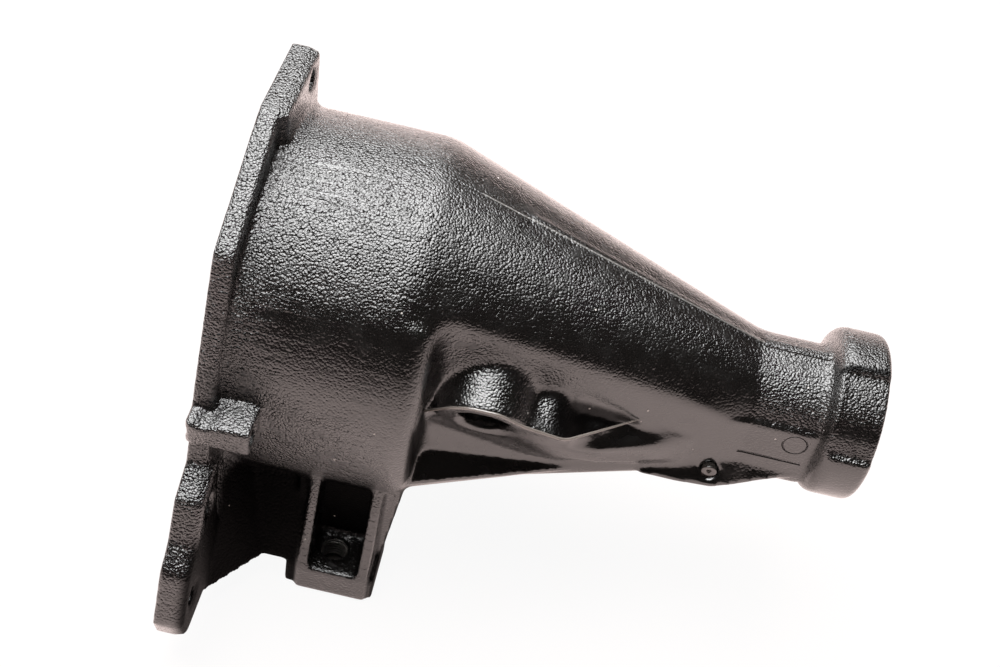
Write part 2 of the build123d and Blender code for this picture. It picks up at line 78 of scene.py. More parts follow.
# The ridge of the folded web round the speedometer boss, and the hollow pressed beyond its corner.
RIDGE = MM * np.array(
    [
        [78.6, -50.7, -8.7],
        [86.8, -57.4, 4.4],
        [96.5, -63.2, 15.8],
        [104.2, -65.5, 20.4],
        [116.1, -65.4, 20.3],
        [126.9, -61.4, 12.4],
        [143.7, -58.9, 7.5],
        [159.5, -46.7, 6.3],
        [172.8, -36.1, 5.3],
    ]
)
RIM_RADIUS = 0.65 * MM
HOLLOW_DEPTH = 6.0 * MM
HOLLOW_DIRECTION = np.array([0.0, 0.68, -0.73])
# Where the painted shade in the hollow ends below the ridge: the edge's height at that x, and its fall along
# x.
HOLLOW_TOP = 14.5 * MM
HOLLOW_TOP_X = 140 * MM
HOLLOW_TOP_SLOPE = 0.27

# The scoop in the near lug's upper face.
SCOOP_X = 7.5 * MM
SCOOP_HALF_WIDTH = 4.0 * MM
SCOOP_DEPTH = 2.0 * MM

# The feet's M12 holes: their axes, the stretch of wall that is widened and the thread's size.
FOOT_HOLE_X = 59 * MM
FOOT_HOLE_SIDE = 65.5 * MM
FOOT_HOLES = (("near", -FOOT_HOLE_SIDE), ("far", FOOT_HOLE_SIDE))
HOLE_WALL_TOP = -89.0 * MM
HOLE_WALL_BOTTOM = -101.5 * MM
THREAD_TOP = -89.8 * MM
THREAD_BOTTOM = -100.8 * MM
THREAD_PITCH = 1.75 * MM
THREAD_ROOT_RADIUS = 6.0 * MM
THREAD_DEPTH = 0.9 * MM
THREAD_FOOT_SUNK = 0.25 * MM
THREAD_HALF_WIDTH = 0.45

# The plug in the neck's pad: the middle of its face, and pairs of radius and depth behind the face.
PLUG_X = 209 * MM
PLUG_FACE = -31.9 * MM
PLUG_Z = -21.5 * MM
PLUG_RECESS = [[0.6, 0.3], [1.1, 0.25], [1.5, 0.06], [1.9, 0.0]]
PLUG_BODY = [[3.0, 0.0], [3.3, 0.12], [3.4, 0.4], [3.4, 7.0], [1.7, 7.0]]
PLUG_PROFILE = MM * np.array(PLUG_RECESS + PLUG_BODY)

# Fine marks in the neck's flat: an ejector ring and a line, sunk where y lies within the flat.
RING_CENTRE = (239.2 * MM, 0.0, 1.8 * MM)
RING_RADIUS = 5.1 * MM
RING_HALF_WIDTH = 0.45 * MM
LINE_Z = -8.9 * MM
LINE_HALF_WIDTH = 0.75 * MM
LINE_X = (217.5 * MM, 245.0 * MM)
FLAT_Y = (-35 * MM, -24 * MM)
MARK_DEPTH = 0.55

# Strips along x: the edge on top of the neck, the mould's seam on the cone and where that seam is rubbed.
# Each has the y of its middle, its half width, and its limits along x and up z.
NECK_EDGE = (0.2 * MM, 0.8 * MM, (218 * MM, 246 * MM), (24 * MM, 30 * MM))
SEAM = (2.1 * MM, 0.8 * MM, (20 * MM, 219 * MM), (20 * MM, 80 * MM))
RUBBED_SEAM = (1.7 * MM, 0.7 * MM, (90 * MM, 218 * MM), (20 * MM, 80 * MM))
SEAM_RISE = 0.12
RUBBED_SHARE = 0.2

# The scuff on the bell, and the path of the painted shade that draws the groove across the collar.
SCUFF = MM * np.array([[31.5, -11.0, 76.8], [33.2, -21.4, 74.6], [33.8, -30.0, 71.6], [34.2, -38.0, 67.7]])
COLLAR_GROOVE_SHADE = MM * np.array(
    [[249.3, -9.9, 32.0], [251.5, -9.0, 34.6], [256.0, -8.6, 35.2], [267.0, -8.0, 35.6]]
)

# The cast grain is made of domes, fine noise and a broad swell. The noises' sizes are in grains.
DOME_SHARE = 0.9
FINE_SHARE = 0.8
FINE_SIZE = 1.3
SWELL_SHARE = 1.2
SWELL_SIZE = 0.12

# Bare flecks in the paint: their spacing, their size in spacings, and the share of places left without one.
FLECK_SPACING = 8 * MM
FLECK_SIZE = 0.05
FLECK_RARITY = 0.7

# The studio: sizes in metres, and each lamp's place and size.
FLOOR_REACH = 6
WALL_REACH = 4
WALL_DISTANCE = 2.2
WALL_HEIGHT = 2.6
FLOOR_SEEN_WHITE = 0.93
FLOOR_MIRRORED = 0.5
# The dark discs under the feet's holes are painted shadow: their radius and their lift off the floor.
SHADOW_RADIUS = 7.6 * MM
SHADOW_LIFT = 0.05 * MM
OVERHEAD_PLACE, OVERHEAD_SIZE = (-0.15, 0.25, 1.0), (1.3, 1.3)
BEHIND_PLACE, BEHIND_SIZE = (-0.1, 1.0, 0.85), (1.4, 0.6)

# The photograph's camera, fitted to the bell and the collar.
CAMERA_LENS = 47.88
CAMERA_SENSOR = 36.0
CAMERA_TILT = math.radians(44.0)
CAMERA_ROLL = math.radians(13.0)
CAMERA_AIM = np.array([0.109, 0, 0])
CAMERA_DISTANCE = 0.575


class CastingSettings(bpy.types.PropertyGroup):
    """Sizes of the casting's surface mesh and of its softened edges."""

    cell: bpy.props.FloatProperty(
        name="Cell",
        description="Size of the cells that the casting's skin is rebuilt with",
        default=1.1 * MM,
        min=0.6 * MM,
        unit="LENGTH",
    )
    edge_passes: bpy.props.IntProperty(
        name="Edge passes", description="Smoothing passes that round every cast edge", default=3, min=0
    )
    pocket_passes: bpy.props.IntProperty(
        name="Pocket passes",
        description="Further passes round the pocket of the speedometer boss",
        default=26,
        min=0,
    )
    faces_kept: bpy.props.IntProperty(
        name="Triangles kept", description="Triangles that the finished skin has", default=190000, min=20000
    )


class PaintSettings(bpy.types.PropertyGroup):
    """The black paint and the cast grain under it."""

    colour: bpy.props.StringProperty(
        name="Paint colour", description="Colour of the paint as an sRGB hex value", default="#141211"
    )
    grain: bpy.props.FloatProperty(
        name="Grain", description="Width of one grain of the cast surface", default=1.05 * MM, unit="LENGTH"
    )
    grain_height: bpy.props.FloatProperty(
        name="Grain height",
        description="Height of the grain under the paint",
        default=0.22 * MM,
        unit="LENGTH",
    )
    roughness: bpy.props.FloatProperty(
        name="Paint roughness",
        description="Roughness of the paint film",
        default=0.24,
        min=0,
        max=1,
        subtype="FACTOR",
    )


class StudioSettings(bpy.types.PropertyGroup):
    """The floor, the backdrop and the lamps."""

    overhead_power: bpy.props.FloatProperty(
        name="Overhead power", description="Power of the large soft box overhead", default=42.0, unit="POWER"
    )
    fill_power: bpy.props.FloatProperty(
        name="Fill power", description="Power of the small soft box behind", default=2.0, unit="POWER"
    )
    floor_colour: bpy.props.StringProperty(
        name="Floor colour", description="Colour of the floor as an sRGB hex value", default="#ffffff"
    )
    bounce_colour: bpy.props.StringProperty(
        name="Bounce colour",
        description="Colour of the light that the floor bounces, as an sRGB hex value",
        default="#ffebe6",
    )
    backdrop_colour: bpy.props.StringProperty(
        name="Backdrop colour",
        description="Colour of the wall behind as an sRGB hex value",
        default="#776d68",
    )
    room_colour: bpy.props.StringProperty(
        name="Room colour", description="Colour of the dim room as an sRGB hex value", default="#211f1e"
    )


def linear(hex_colour):
    """The linear colour of an sRGB hex value, with full alpha."""
    values = [int(hex_colour[i : i + 2], 16) / 255 for i in (1, 3, 5)]
    return tuple(v / 12.92 if v <= 0.04045 else ((v + 0.055) / 1.055) ** 2.4 for v in values) + (1.0,)


def node(tree, kind, inputs=None, links=None, **settings):
    """A node of that kind in the tree, with its settings, socket values and incoming links."""
    made = tree.nodes.new(kind)
    for name, value in settings.items():
        setattr(made, name, value)
    for socket, value in (inputs or {}).items():
        made.inputs[socket].default_value = value
    for socket, source in (links or {}).items():
        tree.links.new(source, made.inputs[socket])
    return made


def compute(tree, operation, *values):
    """The result of a Math node, where each value is a number or the socket that gives it."""
    numbers = {i: value for i, value in enumerate(values) if isinstance(value, (int, float))}
    sockets = {i: value for i, value in enumerate(values) if i not in numbers}
    return node(tree, "ShaderNodeMath", numbers, sockets, operation=operation).outputs[0]


def product(tree, first, *others):
    """The product of the sockets."""
    for other in others:
        first = compute(tree, "MULTIPLY", first, other)
    return first


def between(tree, value, limits):
    """1 where the value lies between the two limits, else 0."""
    low, high = limits
    return product(tree, compute(tree, "GREATER_THAN", value, low), compute(tree, "LESS_THAN", value, high))


def thin_line(tree, value, middle, half_width):
    """1 where the value is the middle, falling evenly to 0 at the half width on both sides."""
    distance = compute(tree, "ABSOLUTE", compute(tree, "SUBTRACT", value, middle))
    limits = {"From Min": 0.0, "From Max": half_width, "To Min": 1.0, "To Max": 0.0}
    return node(tree, "ShaderNodeMapRange", limits, {"Value": distance}).outputs[0]


def strip(tree, place, middle, half_width, along, high):
    """A thin line at that y, between the limits along x and up z."""
    x, y, z = node(tree, "ShaderNodeSeparateXYZ", None, {0: place}).outputs
    line = thin_line(tree, y, middle, half_width)
    return product(tree, line, between(tree, x, along), between(tree, z, high))


def mixed(tree, share, first, second):
    """A mix of two shader nodes: the first where the share is 0, the second where it is 1."""
    return node(tree, "ShaderNodeMixShader", None, {0: share, 1: first.outputs[0], 2: second.outputs[0]})


def new_material(name):
    """An empty material with its output node."""
    material = bpy.data.materials.new(name)
    material.use_nodes = True
    material.node_tree.nodes.clear()
    return material, material.node_tree, material.node_tree.nodes.new("ShaderNodeOutputMaterial")


def mould_marks(tree, place):
    """Height in millimetres of the mould's fine marks.

    The ring and the line in the neck's flat and the edge on top of the neck are sunk by the marks' depth, and
    the seam along the top of the cone stands up by its rise.
    """
    x, y, z = node(tree, "ShaderNodeSeparateXYZ", None, {0: place}).outputs
    without_y = {1: (1.0, 0.0, 1.0)}
    flat = node(tree, "ShaderNodeVectorMath", without_y, {0: place}, operation="MULTIPLY").outputs[0]
    from_ring = node(tree, "ShaderNodeVectorMath", {1: RING_CENTRE}, {0: flat}, operation="DISTANCE")
    ring = thin_line(tree, from_ring.outputs["Value"], RING_RADIUS, RING_HALF_WIDTH)
    line = product(tree, thin_line(tree, z, LINE_Z, LINE_HALF_WIDTH), between(tree, x, LINE_X))
    in_flat = product(tree, compute(tree, "MAXIMUM", ring, line), between(tree, y, FLAT_Y))
    sunk = compute(tree, "MAXIMUM", in_flat, strip(tree, place, *NECK_EDGE))
    raised = compute(tree, "MULTIPLY", strip(tree, place, *SEAM), SEAM_RISE)
    return compute(tree, "MULTIPLY_ADD", sunk, -MARK_DEPTH, raised)


def cast_grain(tree, place, grain):
    """Height of the cast grain, in grain heights, and the broad swell in it.

    The height is a share of the swell plus a share of fine noise less a share of the distance squared from
    the nearest of the points scattered one to a grain, so that each point stands under a round dome.
    """
    pebbles = node(tree, "ShaderNodeTexVoronoi", {"Scale": 1 / grain, "Randomness": 1.0}, {"Vector": place})
    hollows = product(tree, pebbles.outputs["Distance"], pebbles.outputs["Distance"])
    settings = {"Scale": FINE_SIZE / grain, "Detail": 2.0, "Roughness": 0.6}
    fine = node(tree, "ShaderNodeTexNoise", settings, {"Vector": place}).outputs[0]
    settings = {"Scale": SWELL_SIZE / grain, "Detail": 2.0, "Roughness": 0.5}
    swell = node(tree, "ShaderNodeTexNoise", settings, {"Vector": place}).outputs[0]
    height = compute(tree, "MULTIPLY_ADD", fine, FINE_SHARE, compute(tree, "MULTIPLY", hollows, -DOME_SHARE))
    return compute(tree, "MULTIPLY_ADD", swell, SWELL_SHARE, height), swell


def bared_share(tree, place, marks):
    """1 on the scattered flecks, a small share where the seam is rubbed, and 0 elsewhere."""
    settings = {"Scale": 1 / FLECK_SPACING, "Randomness": 1.0}
    flecks = node(tree, "ShaderNodeTexVoronoi", settings, {"Vector": place})
    chance = node(tree, "ShaderNodeSeparateColor", None, {0: flecks.outputs["Color"]}).outputs[0]
    small = compute(tree, "LESS_THAN", flecks.outputs["Distance"], FLECK_SIZE)
    bared = product(tree, small, compute(tree, "GREATER_THAN", chance, FLECK_RARITY))
    if marks:
        rubbed = compute(tree, "MULTIPLY", strip(tree, place, *RUBBED_SEAM), RUBBED_SHARE)
        bared = compute(tree, "MAXIMUM", bared, rubbed)
    return bared


def gloss_black_paint(name, colour, grain_share=1.0, marks=False):
    """Gloss black alkyd paint, brushed thick over a rough aluminium casting.

    The eye sees a hard wet gloss broken into pebbles by the cast grain, which the paint rounds over.
    Sheltered places get painted shade, a dull and nearly black paint, and a few small flecks are bare. Where
    marks are asked for there are the fine lines that the mould left, the seam among them slightly rubbed.
    """
    paint = bpy.context.scene.housing_paint
    material, tree, output = new_material(name)
    place = node(tree, "ShaderNodeTexCoord").outputs["Object"]
    height, swell = cast_grain(tree, place, paint.grain)
    height = compute(tree, "MULTIPLY", height, paint.grain_height * grain_share / MM)
    height = product(tree, height, node(tree, "ShaderNodeAttribute", attribute_name="grain").outputs["Fac"])
    if marks:
        height = compute(tree, "ADD", height, mould_marks(tree, place))
    bump = node(tree, "ShaderNodeBump", {"Strength": 1.0, "Distance": MM}, {"Height": height}).outputs[0]
    least, most = paint.roughness * 0.75, paint.roughness * 1.35
    settings = {"From Min": 0.35, "From Max": 0.7, "To Min": least, "To Max": most}
    worn = node(tree, "ShaderNodeMapRange", settings, {"Value": swell}).outputs[0]
    film = {"IOR": 1.6, "Coat Weight": 1.0, "Coat Roughness": 0.12, "Coat IOR": 1.6}
    gloss = node(
        tree,
        "ShaderNodeBsdfPrincipled",
        {"Base Color": linear(colour), **film},
        {"Roughness": worn, "Normal": bump, "Coat Normal": bump},
    )
    # Painted shade: a dull, nearly black paint, mixed in by each point's weight where shade falls.
    painted_shade_paint = node(
        tree,
        "ShaderNodeBsdfPrincipled",
        {"Base Color": linear("#060505"), "Roughness": 0.5, "Specular IOR Level": 0.05},
        {"Normal": bump},
    )
    bare = node(tree, "ShaderNodeBsdfPrincipled", {"Base Color": linear("#cfcac4"), "Roughness": 0.6})
    painted_shade = node(tree, "ShaderNodeAttribute", attribute_name="painted_shade").outputs["Fac"]
    shader = mixed(tree, bared_share(tree, place, marks), mixed(tree, painted_shade, gloss, painted_shade_paint), bare)
    tree.links.new(shader.outputs[0], output.inputs["Surface"])
    return material


def turned_metal(name, colour, roughness, ring_width=0.3 * MM):
    """Bronze or steel turned on a lathe: fine rings round the bore that draw the highlight out sideways.

    The wave's phase grows by 20 for each metre at a scale of 1, so the scale is divided by that.
    """
    material, tree, output = new_material(name)
    place = node(tree, "ShaderNodeTexCoord").outputs["Object"]
    settings = {"Scale": 1 / ring_width / 20, "Distortion": 0.6, "Detail": 2.0}
    rings = node(tree, "ShaderNodeTexWave", settings, {"Vector": place}, bands_direction="X").outputs[0]
    relief = {"Strength": 0.35, "Distance": 0.02 * MM}
    bump = node(tree, "ShaderNodeBump", relief, {"Height": rings}).outputs[0]
    shader = node(
        tree,
        "ShaderNodeBsdfPrincipled",
        {"Base Color": linear(colour), "Metallic": 1.0, "Roughness": roughness},
        {"Normal": bump},
    )
    tree.links.new(shader.outputs[0], output.inputs["Surface"])
    return material


def moulded_rubber(name, patch=4 * MM):
    """Black nitrile rubber from a mould: dull, with a faint bloom in patches."""
    material, tree, output = new_material(name)
    place = node(tree, "ShaderNodeTexCoord").outputs["Object"]
    bloom = node(tree, "ShaderNodeTexNoise", {"Scale": 1 / patch, "Detail": 3.0}, {"Vector": place})
    dull = node(tree, "ShaderNodeMapRange", {"To Min": 0.5, "To Max": 0.75}, {"Value": bloom.outputs[0]})
    shader = node(
        tree,
        "ShaderNodeBsdfPrincipled",
        {"Base Color": linear("#1b1a1a"), "IOR": 1.52},
        {"Roughness": dull.outputs[0]},
    )
    tree.links.new(shader.outputs[0], output.inputs["Surface"])
    return material


def studio_paper(name, colour, bounced, camera_share=0.0, mirror_share=0.0):
    """Matt paper. The camera sees a share of it as plain colour, so that the shadow on it stays faint, and
    the paint mirrors its slightly warm bounce, a share of it evenly.
    """
    material, tree, output = new_material(name)
    paper = node(tree, "ShaderNodeBsdfDiffuse", {"Color": linear(bounced)})
    warm = node(tree, "ShaderNodeEmission", {"Color": linear(bounced), "Strength": 1.0})
    plain = node(tree, "ShaderNodeEmission", {"Color": linear(colour), "Strength": 1.0})
    seen = node(tree, "ShaderNodeLightPath")
    mirrored = compute(tree, "MULTIPLY", seen.outputs["Is Glossy Ray"], mirror_share)
    in_camera = compute(tree, "MULTIPLY", seen.outputs["Is Camera Ray"], camera_share)
    shader = mixed(tree, in_camera, mixed(tree, mirrored, paper, warm), plain)
    tree.links.new(shader.outputs[0], output.inputs["Surface"])
    return material


def mesh_object(name, points, faces, material):
    """A new smooth object from an array of points and the corners of each face."""
    mesh = bpy.data.meshes.new(name)
    mesh.from_pydata(points.tolist(), [], [list(map(int, face)) for face in faces])
    mesh.polygons.foreach_set("use_smooth", np.ones(len(mesh.polygons), bool))
    mesh.update()
    made = bpy.data.objects.new(name, mesh)
    bpy.context.scene.collection.objects.link(made)
    made.data.materials.append(material)
    return made


def ring_faces(rings, count):
    """Four-cornered faces between closed rings of that many points each, as indices in ring order."""
    i, j = np.meshgrid(np.arange(rings - 1), np.arange(count), indexing="ij")
    after = (j + 1) % count
    corners = [i * count + j, i * count + after, (i + 1) * count + after, (i + 1) * count + j]
    return np.stack([c.ravel() for c in corners], axis=1)


def pole_faces(rings, count):
    """Three-cornered faces from the first and the last ring to the two poles, which follow all the rings."""
    last = (rings - 1) * count
    faces = []
    for k in range(count):
        after = (k + 1) % count
        faces.append([last + count, k, after])
        faces.append([last + count + 1, last + after, last + k])
    return faces


def apply_modifiers(made):
    """Makes the object's mesh what its modifiers show."""
    graph = bpy.context.evaluated_depsgraph_get()
    mesh = bpy.data.meshes.new_from_object(made.evaluated_get(graph))
    made.modifiers.clear()
    old = made.data
    made.data = mesh
    bpy.data.meshes.remove(old)


def vertex_values(mesh, field):
    """That field of each vertex: its place, "co", or its "normal"."""
    values = np.empty(len(mesh.vertices) * 3)
    mesh.vertices.foreach_get(field, values)
    return values.reshape(-1, 3)


def set_weights(mesh, name, values):
    """Keeps one value for each vertex under that name, for the paint to read."""
    mesh.attributes.new(name, "FLOAT", "POINT").data.foreach_set("value", values)


def smooth_step(values, low, high):
    """0 below low, 1 above high, and 3 t squared less 2 t cubed between, where t is the share of the way."""
    t = np.clip((values - low) / (high - low), 0, 1)
    return t * t * (3 - 2 * t)


def within(lengths, rise=None, fall=None):
    """A weight that goes smoothly from 0 to 1 over the rise and from 1 to 0 over the fall.

    Each is a pair of millimetres. Without a rise the weight starts at 1, without a fall it stays there.
    """
    weight = 1.0
    if rise:
        weight = smooth_step(lengths, rise[0] * MM, rise[1] * MM)
    if fall:
        weight = weight * (1 - smooth_step(lengths, fall[0] * MM, fall[1] * MM))
    return weight


def distance_to_path(points, path):
    """Distance of each point from the nearest straight piece of the path."""
    nearest = np.full(len(points), np.inf)
    for start, end in zip(path[:-1], path[1:]):
        along = end - start
        share = np.clip((points - start) @ along / (along @ along), 0, 1)
        nearest = np.minimum(nearest, np.linalg.norm(points - start - share[:, None] * along, axis=1))
    return nearest


def flank_out(points):
    """How far each point stands out from the flat flank of the cone."""
    x, y, _ = points.T
    return -y - FLANK_REACH - FLANK_SLOPE * np.maximum(FLANK_END - x, 0)


def relax(points, edges, weights, passes):
    """Moves each point towards the mean of its neighbours by its weight, that many times."""
    count = np.bincount(edges.ravel(), minlength=len(points)).clip(1)
    for _ in range(passes):
        mean = np.empty_like(points)
        for axis in range(3):
            values = points[:, axis]
            total = np.bincount(edges[:, 0], values[edges[:, 1]], len(points))
            total += np.bincount(edges[:, 1], values[edges[:, 0]], len(points))
            mean[:, axis] = total / count
        points = points + (mean - points) * weights[:, None]
    return points


def pocket_weight(points):
    """How strongly the skin is softened: full round the flat flank and on the bell's shoulder before it, none
    on the web's ridge, the machined edges and the far parts.
    """
    x, y, z = points.T
    flank = within(x, rise=(74, 84), fall=(205, 222)) * within(-y, rise=(24, 30)) * within(z, rise=(-26, -14))
    outside = within(np.hypot(y, z), rise=(34, 38))
    off_ridge = within(distance_to_path(points, RIDGE), rise=(1, 5))
    shoulder = within(np.linalg.norm(points - SHOULDER, axis=1), fall=(4, 9))
    return np.maximum(flank * outside * off_ridge, shoulder)


def press_hollow(points):
    """Presses the web's facet beyond its corner in and down, most under its ridge and nothing at its foot.

    Each point moves by the hollow's depth times its weights along x, up z and out from the flank.
    """
    x, _, z = points.T
    proud = within(flank_out(points), rise=(0, 3), fall=(16, 20))
    depth = HOLLOW_DEPTH * within(x, rise=(142, 150), fall=(170, 196)) * within(z, rise=(-8, 4)) * proud
    return points + depth[:, None] * HOLLOW_DIRECTION


def scoop_lug(points):
    """Sinks the near lug's upper face beside the flange.

    The scoop's section along x is the depth times e to the minus square of the distance in half widths.
    """
    x, y, z = points.T
    across = np.exp(-(((x - SCOOP_X) / SCOOP_HALF_WIDTH) ** 2))
    near = within(-y, rise=(79, 83)) * within(z, rise=(2, 6), fall=(9, 12))
    sunk = SCOOP_DEPTH * across * near
    return points - sunk[:, None] * np.array([0.0, 0.0, 1.0])


def widen_holes(points):
    """Moves the walls of the feet's holes out to the thread's root radius, between the chamfers."""
    x, y, z = points.T
    out = np.stack([x - FOOT_HOLE_X, np.abs(y) - FOOT_HOLE_SIDE], axis=1)
    radius = np.linalg.norm(out, axis=1).clip(0.1 * MM)
    inside = (radius < THREAD_ROOT_RADIUS) & (z < HOLE_WALL_TOP) & (z > HOLE_WALL_BOTTOM)
    wider = np.where(inside, THREAD_ROOT_RADIUS / radius, 1.0)
    moved = points.copy()
    moved[:, 0] = FOOT_HOLE_X + out[:, 0] * wider
    moved[:, 1] = np.sign(y) * (FOOT_HOLE_SIDE + out[:, 1] * wider)
    return moved


def grain_weight(points):
    """How rough the cast skin is: full on the cone, more on the bell and the neck, less on the rim, the feet
    and a band along the bell's near side, and least on the flank, off its bosses, and along the scuff.
    """
    x, y, z = points.T
    bell = within(x, fall=(62, 84))
    neck = 0.8 * within(x, rise=(216, 221))
    rim = within(np.abs(y), rise=(78, 84))
    feet = within(z, fall=(-58, -44))
    side = within(-y, rise=(22, 30)) * within(x, rise=(82, 92)) * within(z, fall=(14, 30))
    bosses = within(flank_out(points), rise=(1, 4)) * within(z, rise=(4, 9))
    degrees = np.degrees(np.arctan2(z, -y))
    band = smooth_step(degrees, 2, 14) * (1 - smooth_step(degrees, 34, 50))
    band = band * within(x, rise=(12, 16), fall=(74, 86))
    off_scuff = within(distance_to_path(points, SCUFF), rise=(0.7, 2.4))
    rough = (1 + 1.2 * np.maximum(bell, neck) - 0.5 * rim) * (1 - 0.6 * band) * (0.3 + 0.7 * off_scuff)
    return rough * (1 - 0.8 * side * (1 - bosses)) * (1 - 0.5 * feet)


def painted_shade_weight(points, normals):
    """Weight of the painted shade: how far the paint turns dull and nearly black where shade falls in
    sheltered places.

    Full on the leaning webs, in the feet's recesses and on the feet's rear sides, nearly so in the corner
    before the speedometer's web, in the hollow beyond it and in the collar's groove, and slight on the face
    below.
    """
    x, y, z = points.T
    rearward, _, upward = normals.T
    webs = within(x, rise=(7, 12), fall=(44, 46))
    recess = within(x, rise=(49.5, 51), fall=(71, 72.5)) * within(-z, fall=(84, 87))
    rear = within(x, rise=(76, 78)) * smooth_step(rearward, 0.3, 0.7)
    low = within(z, fall=(-46, -36)) * within(np.abs(y), rise=(46, 52))
    feet = low * np.maximum(webs, np.maximum(recess, rear))
    corner = 0.9 * within(x, rise=(83, 84.5), fall=(89, 91)) * smooth_step(rearward, 0.6, 0.9)
    face = 0.3 * within(x, rise=(88, 96), fall=(178, 196)) * smooth_step(-upward, 0.1, 0.35)
    near = within(-y, rise=(34, 38)) * within(z, rise=(-32, -28), fall=(5, 12))
    below_ridge = HOLLOW_TOP - HOLLOW_TOP_SLOPE * (x - HOLLOW_TOP_X) - z
    hollow = within(x, rise=(133, 140), fall=(164, 174)) * within(below_ridge, rise=(-1.5, 1.5))
    hollow = 0.85 * hollow * within(z, rise=(0, 2)) * (y < -34 * MM)
    hollow = hollow * ((upward > 0.25) | (flank_out(points) < 1 * MM))
    # Painted shade along the groove across the collar.
    groove = 0.9 * within(distance_to_path(points, COLLAR_GROOVE_SHADE), fall=(0.9, 1.9))
    return np.maximum.reduce([feet, hollow, groove, near * np.maximum(corner, face)])


class HOUSING_OT_casting(bpy.types.Operator):
    """Builds the casting's rounded skin over its CAD node"""

    bl_idname = "housing.casting"
    bl_label = "Casting"

    def execute(self, context):
        settings = context.scene.housing_casting
        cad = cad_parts["extension_housing"]
        skin = bpy.data.objects.new("casting_skin", cad.data.copy())
        context.scene.collection.objects.link(skin)
        weld = skin.modifiers.new("weld", "WELD")
        weld.merge_threshold = WELD_DISTANCE
        cells = skin.modifiers.new("cells", "REMESH")
        cells.mode = "VOXEL"
        cells.voxel_size = settings.cell
        apply_modifiers(skin)
        mesh = skin.data
        if not len(mesh.vertices):
            raise RuntimeError("the casting's skin came out empty")
        edges = np.empty(len(mesh.edges) * 2, int)
        mesh.edges.foreach_get("vertices", edges)
        edges = edges.reshape(-1, 2)
        points = vertex_values(mesh, "co")
        points = relax(points, edges, np.full(len(points), EDGE_SHARE), settings.edge_passes)
        softened = POCKET_SHARE * pocket_weight(points)
        points = scoop_lug(press_hollow(points))
        points = widen_holes(relax(points, edges, softened, settings.pocket_passes))
        mesh.vertices.foreach_set("co", points.ravel())
        mesh.update()
        thin = skin.modifiers.new("thin", "DECIMATE")
        thin.ratio = min(1.0, settings.faces_kept / (2 * len(mesh.polygons)))
        apply_modifiers(skin)
        mesh = skin.data
        mesh.polygons.foreach_set("use_smooth", np.ones(len(mesh.polygons), bool))
        places = vertex_values(mesh, "co")
        set_weights(mesh, "grain", grain_weight(places))
        # Painted shade: each point's weight for the dull, nearly black paint in sheltered places.
        set_weights(mesh, "painted_shade", painted_shade_weight(places, vertex_values(mesh, "normal")))
        paint = gloss_black_paint("gloss_black_paint", context.scene.housing_paint.colour, marks=True)
        mesh.materials.clear()
        mesh.materials.append(paint)
        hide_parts("extension_housing")
        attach(skin, BODY)
        return {"FINISHED"}


def thread_turns(x, y):
    """Points and faces of the thread in a hole about that x and y, a helical ridge of three-cornered section.

    At the turn angle a the ridge's middle height is the thread's top less its pitch times a / 2 pi. The foot
    is sunk a little behind the root radius, the half width in pitches above and below that height, and the
    crest stands in by the thread's depth. All of it fades to a fiftieth over the first and last half turn.
    """
    turns = (THREAD_TOP - THREAD_BOTTOM) / THREAD_PITCH
    steps_in_turn = 36
    angle = np.linspace(0, 2 * math.pi * turns, int(turns * steps_in_turn) + 1)
    height = THREAD_TOP - THREAD_PITCH * angle / (2 * math.pi)
    fade = np.clip(np.minimum(angle, angle[-1] - angle) / math.pi, 0.02, 1)
    lines = []
    for inward, offset in (
        (-THREAD_FOOT_SUNK, THREAD_HALF_WIDTH),
        (THREAD_DEPTH, 0.0),
        (-THREAD_FOOT_SUNK, -THREAD_HALF_WIDTH),
    ):
        radius = THREAD_ROOT_RADIUS - inward * fade
        up = height + offset * THREAD_PITCH * fade
        lines.append(np.stack([x + radius * np.cos(angle), y + radius * np.sin(angle), up], axis=1))
    points = np.stack(lines, axis=1).reshape(-1, 3)
    last = len(points) - 3
    faces = ring_faces(len(angle), 3)[:, ::-1].tolist()
    return points, faces + [[0, 1, 2], [last + 2, last + 1, last]]


class HOUSING_OT_threads(bpy.types.Operator):
    """Lays the turns of the M12 threads in the feet's holes"""

    bl_idname = "housing.threads"
    bl_label = "Foot threads"

    def execute(self, context):
        # The threads' paint is a light grey: painted highlight standing for the light on the thread crests.
        finish = gloss_black_paint("thread_paint_painted_highlight", "#77726d", grain_share=0.2)
        for side, y in FOOT_HOLES:
            points, faces = thread_turns(FOOT_HOLE_X, y)
            thread = mesh_object("foot_thread_" + side, points, faces, finish)
            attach(thread, BODY)
        return {"FINISHED"}


def bead_along(path, radius):
    """Points and faces of a round bead along the path, drawn in to a point at both ends.

    The path is taken at even steps, its corners are eased by a moving mean, and each ring stands across the
    path's direction. The radius is that of the middle times the fourth root of sin(pi * share).
    """
    steps, easing_passes, ring_points = 161, 12, 12
    lengths = np.concatenate([[0], np.cumsum(np.linalg.norm(np.diff(path, axis=0), axis=1))])
    stations = np.linspace(0, lengths[-1], steps)
    line = np.stack([np.interp(stations, lengths, path[:, axis]) for axis in range(3)], axis=1)
    for _ in range(easing_passes):
        line[1:-1] = (line[:-2] + line[1:-1] * 2 + line[2:]) / 4
    ahead = np.gradient(line, axis=0)
    ahead /= np.linalg.norm(ahead, axis=1)[:, None]
    first = np.cross(ahead, [0.0, 0.0, 1.0])
    first /= np.linalg.norm(first, axis=1)[:, None]
    second = np.cross(ahead, first)
    around = np.linspace(0, 2 * math.pi, ring_points, endpoint=False)
    share = np.linspace(0, 1, len(line))[1:-1]
    thick = radius * np.sin(math.pi * share) ** 0.25
    rings = (
        line[1:-1, None]
        + thick[:, None, None] * np.cos(around)[None, :, None] * first[1:-1, None]
        + thick[:, None, None] * np.sin(around)[None, :, None] * second[1:-1, None]
    )
    points = np.concatenate([rings.reshape(-1, 3), line[:1], line[-1:]])
    sides = ring_faces(len(share), ring_points)[:, ::-1].tolist()
    return points, sides + pole_faces(len(share), ring_points)


